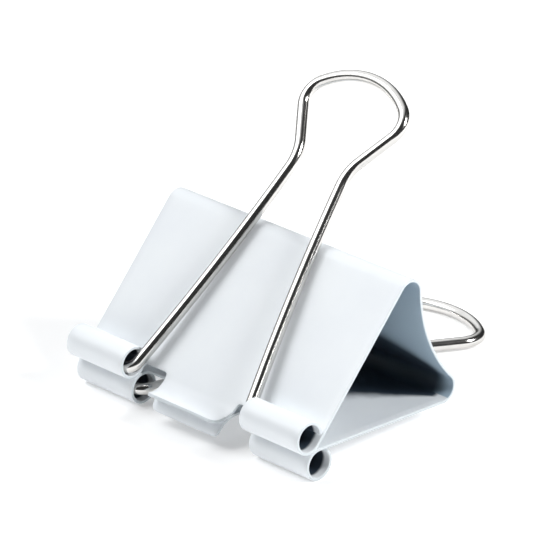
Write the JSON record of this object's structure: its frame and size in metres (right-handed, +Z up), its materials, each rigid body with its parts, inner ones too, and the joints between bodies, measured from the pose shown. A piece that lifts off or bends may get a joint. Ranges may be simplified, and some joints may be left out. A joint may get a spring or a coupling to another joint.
{
  "type": "binder clip",
  "caption": "Folded sheet steel binder clip with a bowed spine, rolled barrels, flared jaw lips and two hinged wire handles.",
  "frame": {"origin": "on the floor under the middle of the clip as it lies on its lower barrels and its lower handle", "axes": "+X along the barrels, +Y from the jaws back to the spine, +Z up"},
  "size_m": [0.051, 0.0616, 0.0474],
  "materials": {
    "painted_spring_steel": "gloss white",
    "nickel_wire": "bright nickel plate"
  },
  "bodies": {
    "spine": {"spine_plate": "painted_spring_steel"},
    "upper_jaw": {"upper_jaw": "painted_spring_steel"},
    "lower_jaw": {"lower_jaw": "painted_spring_steel"},
    "upper_handle": {"upper_handle": "nickel_wire"},
    "lower_handle": {"lower_handle": "nickel_wire"}
  },
  "joints": [
    {"name": "upper_jaw_flex", "type": "hinge", "parent": "spine", "child": "upper_jaw", "pos_m": [0, -0.00363, 0.02389], "axis": [-1, 0, 0], "range_deg": [0, 25], "stiffness_Nm_per_rad": 2, "springref_deg": -1.72},
    {"name": "lower_jaw_flex", "type": "hinge", "parent": "lower_jaw", "child": "spine", "pos_m": [0, 0.00297, 0.00726], "axis": [-1, 0, 0], "range_deg": [0, 25], "stiffness_Nm_per_rad": 2, "springref_deg": -1.72},
    {"name": "upper_handle_swing", "type": "hinge", "parent": "upper_jaw", "child": "upper_handle", "pos_m": [0, -0.02767, 0.00758], "axis": [1, 0, 0], "range_deg": [0, 158]},
    {"name": "lower_handle_swing", "type": "hinge", "parent": "lower_jaw", "child": "lower_handle", "pos_m": [0, -0.02571, 0.00265], "axis": [-1, 0, 0], "range_deg": [-0.6, 156]}
  ],
  "couplings": [
    {"joint": "lower_jaw_flex", "follows": "upper_jaw_flex", "ratio": 1}
  ]
}
